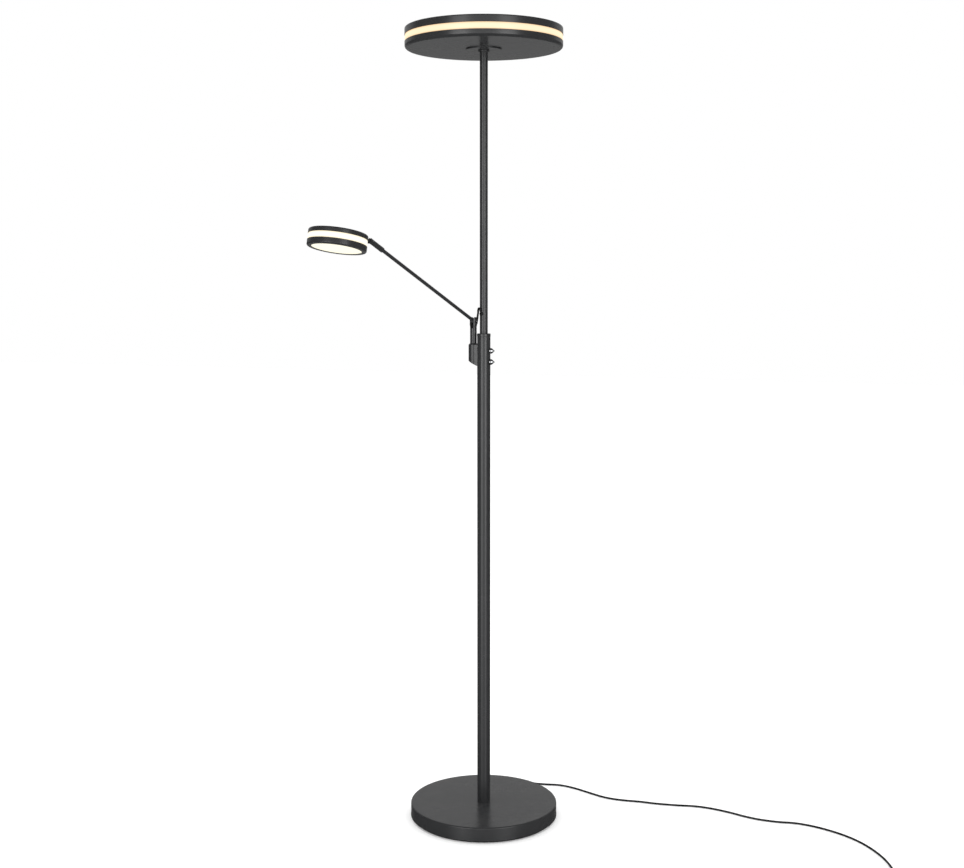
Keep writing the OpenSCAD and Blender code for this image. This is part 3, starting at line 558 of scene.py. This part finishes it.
# ---- reading head ----
reader = {
    "radius": 60, "top": 17, "bottom": -17, "shellLow": 7, "ringTop": -5,
    "sheet": 1.2, "edge": 3, "ledge": 4.5, "opening": 50.5,
    "bandOuter": 59.2, "bandWall": 2.2, "crown": 0.4, "lensRadius": 55, "lens": 2,
}
readerMetres = Matrix.Scale(mm, 4) @ readerAt
readerPlace = Matrix.Translation(readerMetres.to_translation()) @ readerAt.to_3x3().to_4x4()
# the second colour of each glow is the painted lip shade at the band's edges
readerGlow = glowing("readerGlow", (1.0, 0.97, 0.84), (0.98, 0.84, 0.56), 1.05,
                     readerPlace @ Matrix.Translation((0, 0, 0.001)), 0.0063, (0.3, 0.45))
lensGlow = glowing("lensGlow", (1.0, 0.96, 0.76), (0.98, 0.88, 0.62), 1.05,
                   readerPlace @ Matrix.Translation((0, 0, -0.0145)), 0.012, (0.3, 0.45))
placed("readingShell", turnedShape(panProfile(reader["radius"], -reader["top"],
                                              -reader["shellLow"], reader["sheet"],
                                              reader["edge"], 0, reader["ledge"]), 160, False),
       readerAt @ Matrix.Scale(-1, 4, (0, 0, 1)), "reading_head", "powder_coat",
       powderCoat, "reading_shell")
placed("readingBand", turnedShape(bandProfile(reader["bandOuter"], reader["bandWall"],
                                              reader["ringTop"], reader["shellLow"],
                                              reader["crown"]), 160),
       readerAt, "reading_head", "opal", readerGlow, "reading_band")
placed("readingRing", turnedShape(panProfile(reader["radius"], reader["bottom"], reader["ringTop"],
                                             reader["sheet"], reader["edge"], reader["opening"],
                                             reader["ledge"]), 160),
       readerAt, "reading_head", "powder_coat", powderCoat, "reading_ring")
lensLow = reader["bottom"] + reader["sheet"]
placed("readingDiffuser", turnedShape([(0, lensLow), (reader["lensRadius"], lensLow),
                                       (reader["lensRadius"], lensLow + reader["lens"]),
                                       (0, lensLow + reader["lens"])], 128, False),
       readerAt, "reading_head", "opal", lensGlow, "reading_diffuser")
softenedCopy("headLug", "head_lug", 0.45, "reading_head", "powder_coat", powderCoat)
print("scene: reading head pressed")

# ---- arm ----
armSet = {"rodRadius": 3.8, "bore": 1.4, "tenonStart": 3, "tenonRadius": 2.5, "rodStart": 9,
          "rodEnd": 377.2}
placed("armRod", turnedShape([(armSet["bore"], armSet["tenonStart"]),
                              (armSet["tenonRadius"], armSet["tenonStart"]),
                              (armSet["tenonRadius"], armSet["rodStart"]),
                              (armSet["rodRadius"], armSet["rodStart"], 0.3),
                              (armSet["rodRadius"], armSet["rodEnd"], 0.3),
                              (armSet["bore"], armSet["rodEnd"])], 64),
       armAt @ alongX, "arm", "powder_coat", powderCoat, "arm_rod")
softenedCopy("armKnuckle", "arm_knuckle", 0.35, "arm", "powder_coat", powderCoat)
softenedCopy("headSleeve", "head_sleeve", 0.5, "head_mount", "powder_coat", powderCoat)
softenedCopy("armSpigot", "arm_spigot", 0.5, "swivel", "powder_coat", powderCoat)
softenedCopy("armBracket", "arm_bracket", 0.7, "stand", "powder_coat", powderCoat)

glandSet = {"radius": 3.4, "middle": -12.4, "cut": -9.6}
ballArc = []
for step in range(19):
    turn = math.radians(180 - 10 * step)
    along = glandSet["middle"] + glandSet["radius"] * math.cos(turn)
    if along < glandSet["cut"]:
        ballArc.append((glandSet["radius"] * math.sin(turn), along))
ballArc += [(3.0, glandSet["cut"]), (0, glandSet["cut"])]
placed("tailGland", turnedShape(ballArc, 48, False), armAt @ alongX, "arm", "cable_rubber",
       cableRubber, "tail_gland")

grommetSet = {"turn": 252, "height": 1173, "tilt": 55, "bore": 2.3}
grommetAt = (Matrix.Rotation(math.radians(grommetSet["turn"]), 4, "Z")
             @ Matrix.Translation((pole["upperRadius"], 0, grommetSet["height"]))
             @ Matrix.Rotation(math.radians(grommetSet["tilt"]), 4, "Y"))
placed("cableGrommet", turnedShape([(grommetSet["bore"], -2.2), (4.3, -2.2), (4.6, 0.6, 0.4),
                                    (3.6, 2.2, 0.7), (grommetSet["bore"], 2.4, 0.2)], 48),
       grommetAt, "stand", "cable_rubber", cableRubber, "cable_grommet")

loopSet = {"diameter": 4.5, "steps": 8}
loopUpper = [(-2.4, -7.5, 1172.5), (-3.2, -10.5, 1176.5), (-4.2, -12, 1181),
             (-6.3, -11.4, 1184.5), (-9.5, -8.2, 1184), (-12.5, -3, 1180),
             (-13.2, -0.8, 1177.6)]
loopLower = [(-13.2, -0.8, 1177.6), (-13.4, -0.2, 1177), (-14.4, 2, 1174.3),
             (-17, 6.4, 1168), (-19.3, 10.6, 1161), (-21.3, 12.6, 1153.6)]
for name, points, first, second, start, end, node in (
        ("loopCableUpper", loopUpper, "stand", "swivel", (-3.2, -10.5, 1176.5),
         (-13.2, -0.8, 1177.6), "loop_cable_upper"),
        ("loopCableLower", loopLower, "swivel", "arm", (-13.4, -0.2, 1177),
         (-21.2, 11.2, 1157), "loop_cable_lower")):
    loop = sweptTube(name, smoothLine(millimetres(points), loopSet["steps"]),
                     loopSet["diameter"] * mm, 4)
    loop.data.materials.append(cableRubber)
    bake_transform(loop)
    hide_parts(node)

# ---- knobs ----
knobSet = {"radius": 6.7, "length": 10.6, "base": 15.6, "nose": 1.4, "shaft": 3}


def knobProfile(sizes):
    radius, length, nose = sizes["radius"], sizes["length"], sizes["nose"]
    bell = smoothLine([Vector(v) for v in (
        (radius, 1.3, 0), (radius * 0.95, length * 0.25, 0), (radius * 0.76, length * 0.47, 0),
        (radius * 0.5, length * 0.66, 0), (nose * 1.35, length * 0.8, 0),
        (nose * 1.0, length * 0.9, 0), (nose * 0.72, length * 0.97, 0), (0.0, length, 0))], 4)
    return ([(0, -9.6), (sizes["shaft"], -9.6), (sizes["shaft"], 2.4), (radius - 1, 2.4),
             (radius - 1, 0), (radius - 0.15, 0), (radius, 0.25), (radius, 0.95),
             (radius - 0.12, 1.1), (radius, 1.25)]
            + [(v.x, v.y) for v in bell])


for name, height, body, node in (("uplightKnob", 1089, "uplight_dial", "uplight_knob"),
                                 ("readingKnob", 1064, "reading_dial", "reading_knob")):
    placed(name, turnedShape(knobProfile(knobSet), 96, False),
           Matrix.Translation((knobSet["base"], 0, height)) @ alongX, body, "chrome_knob",
           chrome, node)
print("scene: arm and knobs made")

# ---- cord fittings ----
reliefSet = {"from": 168.8, "height": 12, "length": 27, "bore": 2.25, "ribs": 6}


def reliefProfile(sizes):
    points = [(sizes["bore"], -2.2), (6, -2.2, 0.3), (6, -0.2), (3.85, -0.2), (3.85, 1.2),
              (5.6, 1.2, 0.2), (5.6, 2.6, 0.5)]
    for rib in range(sizes["ribs"]):
        share = rib / sizes["ribs"]
        start = 2.6 + (sizes["length"] - 2.6) * share
        radius = 5.0 - 1.7 * share
        points += [(radius - 0.8, start + 0.2), (radius - 0.8, start + 1.4),
                   (radius, start + 1.6, 0.2), (radius - 0.15, start + 3.8, 0.2)]
    return points + [(sizes["bore"], sizes["length"])]


cordGland = placed("cordGland", turnedShape(reliefProfile(reliefSet), 48),
                   Matrix.Translation((0, reliefSet["from"], reliefSet["height"]))
                   @ Matrix.Rotation(math.radians(-90), 4, "X"),
                   "stand", "cable_rubber", cableRubber, "cord_gland")

plugSet = {
    "at": (964, -107, 7), "turn": -70, "boot": 14, "width": 35, "neck": 13,
    "length": 37, "thick": 13.7, "bootBore": 2.25, "bootRibs": 4,
    "pinRadius": 2, "pinSleeve": 10.5, "pinLength": 21, "pinPitch": 19,
}


def plugShape(sizes):
    shape = bmesh.new()
    # the moulded body, drawn out from its narrow end
    bmesh.ops.create_cube(shape, size=1, matrix=Matrix.Diagonal((1, 1, 1, 1)))
    for vert in shape.verts:
        far = vert.co.x > 0
        vert.co.x = sizes["boot"] + sizes["length"] if far else sizes["boot"] - 2
        vert.co.y *= sizes["width"] if far else sizes["neck"]
        vert.co.z *= sizes["thick"] if far else sizes["thick"] - 2
    cut = bmesh.ops.bisect_plane(shape, geom=shape.verts[:] + shape.edges[:] + shape.faces[:],
                                 plane_co=(sizes["boot"] + sizes["length"] * 0.6, 0, 0),
                                 plane_no=(1, 0, 0))
    for item in cut["geom_cut"]:
        if isinstance(item, bmesh.types.BMVert):
            item.co.y = math.copysign(sizes["width"] / 2, item.co.y)
            item.co.z = math.copysign(sizes["thick"] / 2, item.co.z)
    bmesh.ops.bevel(shape, geom=shape.edges[:], offset=2.2, segments=5, profile=0.5,
                    affect="EDGES", material=-1, clamp_overlap=True)
    return shape


def pinProfile(sizes):
    foot = sizes["boot"] + sizes["length"] - 2    # just inside the moulded body
    sleeve, tip = foot + sizes["pinSleeve"], foot + sizes["pinLength"]
    wide, slim = sizes["pinRadius"], sizes["pinRadius"] - 0.1
    return [(0, foot), (wide, foot), (wide, sleeve), (slim, sleeve + 0.2), (slim, tip - 1, 0.8),
            (0, tip)]


plugPlace = Matrix.Translation(plugSet["at"]) @ Matrix.Rotation(
    math.radians(plugSet["turn"]), 4, "Z")
mainsPlug = placed("mainsPlug", plugShape(plugSet), plugPlace, "stand", "plug_plastic",
                   plugPlastic, "mains_plug")
bootPoints = [(plugSet["bootBore"], 0), (3.1, 0, 0.2)]
for rib in range(plugSet["bootRibs"]):
    start = 0.8 + 3.0 * rib
    bootPoints += [(3.2 + 0.45 * rib, start), (3.2 + 0.45 * rib, start + 1.9),
                   (2.8 + 0.4 * rib, start + 2.1), (2.8 + 0.4 * rib, start + 2.8)]
bootPoints += [(4.9, 13), (plugSet["bootBore"], 13)]
plugBoot = placed("plugBoot", turnedShape(bootPoints, 40), plugPlace @ alongX, "stand",
                  "plug_plastic", plugPlastic)

pins = bmesh.new()
for side in (-1, 1):
    pin = turnedShape(pinProfile(plugSet), 32, False)
    pin.transform(plugPlace @ Matrix.Translation((0, side * plugSet["pinPitch"] / 2, 0))
                  @ alongX)
    part = bpy.data.meshes.new("pinPart")
    pin.to_mesh(part)
    pin.free()
    pins.from_mesh(part)
    bpy.data.meshes.remove(part)
plugPins = placed("plugPins", pins, upright, "stand", "zinc_steel", zincSteel)

tieSet = {"turn": 20, "radius": 26, "halfWidth": 5.8, "height": 15.3, "width": 6,
          "thick": 0.6, "corner": 2.8}


def tieShape(sizes):
    shape = bmesh.new()
    bmesh.ops.create_cube(shape, size=1, matrix=Matrix.Diagonal(
        (2 * sizes["halfWidth"], sizes["width"], sizes["height"], 1)))
    ends = [f for f in shape.faces if abs(f.normal.y) > 0.9]
    bmesh.ops.delete(shape, geom=ends, context="FACES_ONLY")
    along = [e for e in shape.edges
             if abs((e.verts[0].co - e.verts[1].co).normalized().y) > 0.9]
    bmesh.ops.bevel(shape, geom=along, offset=sizes["corner"], segments=6, profile=0.5,
                    affect="EDGES", material=-1)
    bmesh.ops.recalc_face_normals(shape, faces=shape.faces)
    bmesh.ops.solidify(shape, geom=shape.faces[:], thickness=sizes["thick"])
    bmesh.ops.translate(shape, vec=(0, 0, sizes["height"] / 2), verts=shape.verts)
    return shape


cordTie = placed("cordTie", tieShape(tieSet),
                 Matrix.Translation((*cordSet["coilCentre"], 0))
                 @ Matrix.Rotation(math.radians(tieSet["turn"]), 4, "Z")
                 @ Matrix.Translation((tieSet["radius"], 0, 0)),
                 "stand", "plug_plastic", plugPlastic, "cord_tie")

mainsCord.data.materials.append(cableRubber)
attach(mainsCord, "stand")
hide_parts("mains_cord", "cord_coil", "cord_tail")
print("scene: cord fittings made")

# ---- finishes of the CAD nodes that stay ----
slotFinish = {
    "powder_coat": powderCoat, "opal": topGlow, "zinc_steel": zincSteel,
    "chrome_knob": chrome, "iron": castIron, "soft_pad": softPad, "heat_sink": heatSink,
    "circuit_board": boardWhite, "driver_case": driverCase, "dimmer_case": dimmerCase,
    "nylon": nylonBlack, "cable_rubber": cableRubber, "plug_plastic": plugPlastic,
    "led_phosphor": topGlow,
}
for part in frame["record"]["subparts"]:
    data = nodes[part["node"]].data
    data.materials.clear()
    data.materials.append(slotFinish[part["material_slot"]])

# ---- studio ----
floorSet = {"half": 14, "below": 0.0004, "glow": 0.2}    # metres
floorShape = bmesh.new()
bmesh.ops.create_grid(floorShape, x_segments=4, y_segments=4, size=floorSet["half"])
bmesh.ops.translate(floorShape, vec=(0, 0, -floorSet["below"]), verts=floorShape.verts)
floorMesh = bpy.data.meshes.new("studioFloor")
floorShape.to_mesh(floorMesh)
floorShape.free()
studioFloor = bpy.data.objects.new("studioFloor", floorMesh)
bpy.context.scene.collection.objects.link(studioFloor)
studioFloor.visible_glossy = False
studioFloor.visible_shadow = False
paleFloor = finish("paleFloor", (0.86, 0.86, 0.86), (0.88, 0.88, 0.88), (0.9, 0.95),
                   grain=40.0, blotch=2.0, bump=0.0)
floorShader = paleFloor.node_tree.nodes["Principled BSDF"]
floorShader.inputs["Emission Color"].default_value = (1, 1, 1, 1)
floorShader.inputs["Emission Strength"].default_value = floorSet["glow"]
floorMesh.materials.append(paleFloor)

worldSet = {
    "dome": 1.3,         # even light on every matt surface
    "side": 0.045,
    "strip": 5.5, "stripAt": 35, "stripHalf": 8, "stripSoft": 8,
    "front": 1.9, "frontHalf": 20, "frontSoft": 18,
    "backHigh": 130, "backLow": 160, "backSoft": 15,
    "heights": (-40, 60),
    # degrees over the horizon, and how bright
    "frontRise": ((-22, 0.01), (-18.5, 0.12), (-16, 0.30), (-13, 0.38), (-6.5, 0.36),
                  (-4, 0.9), (-2, 1.0), (3, 0.72), (8, 0.52), (14, 0.2), (22, 0.05),
                  (32, 0.01)),
    "highRise": ((4, 0.0), (11, 0.52), (30, 0.42), (46, 0.03)),
    "lowRise": ((-24, 0.12), (-12, 0.22), (6, 0.22), (12, 0.0)),
}
world = bpy.data.worlds.new("studioWorld")
bpy.context.scene.world = world
world.use_nodes = True
world.cycles.sampling_method = "NONE"
sky = world.node_tree
sky.nodes.clear()


def window(angle, centre, half, soft):
    off = put(sky, "Math", {0: angle, 1: math.radians(centre)}, operation="SUBTRACT")
    far = put(sky, "Math", {0: off.outputs[0]}, operation="ABSOLUTE")
    return put(sky, "MapRange", {
        "Value": far.outputs[0], "From Min": math.radians(half),
        "From Max": math.radians(half + soft), "To Min": 1.0, "To Max": 0.0},
        interpolation_type="SMOOTHSTEP").outputs[0]


def rise(share, stops):
    low, high = worldSet["heights"]
    node = put(sky, "ValToRGB", {"Fac": share})
    while len(node.color_ramp.elements) < len(stops):
        node.color_ramp.elements.new(0.5)
    for element, (angle, level) in zip(node.color_ramp.elements, stops):
        element.position = (angle - low) / (high - low)
        element.color = (level, level, level, 1)
    return node.outputs["Color"]


def times(a, b, strength, added):
    both = put(sky, "Math", {0: a, 1: b}, operation="MULTIPLY")
    return put(sky, "Math", {0: both.outputs[0], 1: strength, 2: added},
               operation="MULTIPLY_ADD").outputs[0]


lookRound = put(sky, "Mapping", {"Vector": put(sky, "TexCoord").outputs["Generated"]})
lookRound.inputs["Rotation"].default_value = (0, 0, math.radians(-cameraSet["turn"]))
axes = put(sky, "SeparateXYZ", {0: lookRound.outputs[0]})
away = put(sky, "Math", {0: axes.outputs["Y"], 1: -1.0}, operation="MULTIPLY")
azimuth = put(sky, "Math", {0: axes.outputs["X"], 1: away.outputs[0]}, operation="ARCTAN2")
eitherSide = put(sky, "Math", {0: azimuth.outputs[0]}, operation="ABSOLUTE").outputs[0]
height = put(sky, "Math", {0: axes.outputs["Z"]}, operation="ARCSINE")
share = put(sky, "MapRange", {"Value": height.outputs[0],
                              "From Min": math.radians(worldSet["heights"][0]),
                              "From Max": math.radians(worldSet["heights"][1])}).outputs[0]
frontRise = rise(share, worldSet["frontRise"])
strips = window(eitherSide, worldSet["stripAt"], worldSet["stripHalf"], worldSet["stripSoft"])
shine = times(strips, frontRise, worldSet["strip"], worldSet["side"])
shine = times(window(eitherSide, 0, worldSet["frontHalf"], worldSet["frontSoft"]), frontRise,
              worldSet["front"], shine)
shine = times(window(eitherSide, 180, 180 - worldSet["backHigh"], worldSet["backSoft"]),
              rise(share, worldSet["highRise"]), 1.0, shine)
shine = times(window(eitherSide, 180, 180 - worldSet["backLow"], worldSet["backSoft"]),
              rise(share, worldSet["lowRise"]), 1.0, shine)
ray = put(sky, "LightPath").outputs
matt = put(sky, "Mix", {0: ray["Is Glossy Ray"], 2: worldSet["dome"], 3: shine}, data_type="FLOAT")
level = put(sky, "Mix", {0: ray["Is Camera Ray"], 2: matt.outputs[0], 3: 1.0},
            data_type="FLOAT")
background = put(sky, "Background", {"Color": (1, 1, 1, 1), "Strength": level.outputs[0]})
skyOut = sky.nodes.new("ShaderNodeOutputWorld")
sky.links.new(background.outputs[0], skyOut.inputs["Surface"])
bpy.context.scene.view_settings.view_transform = "Standard"
print("scene: studio lit")
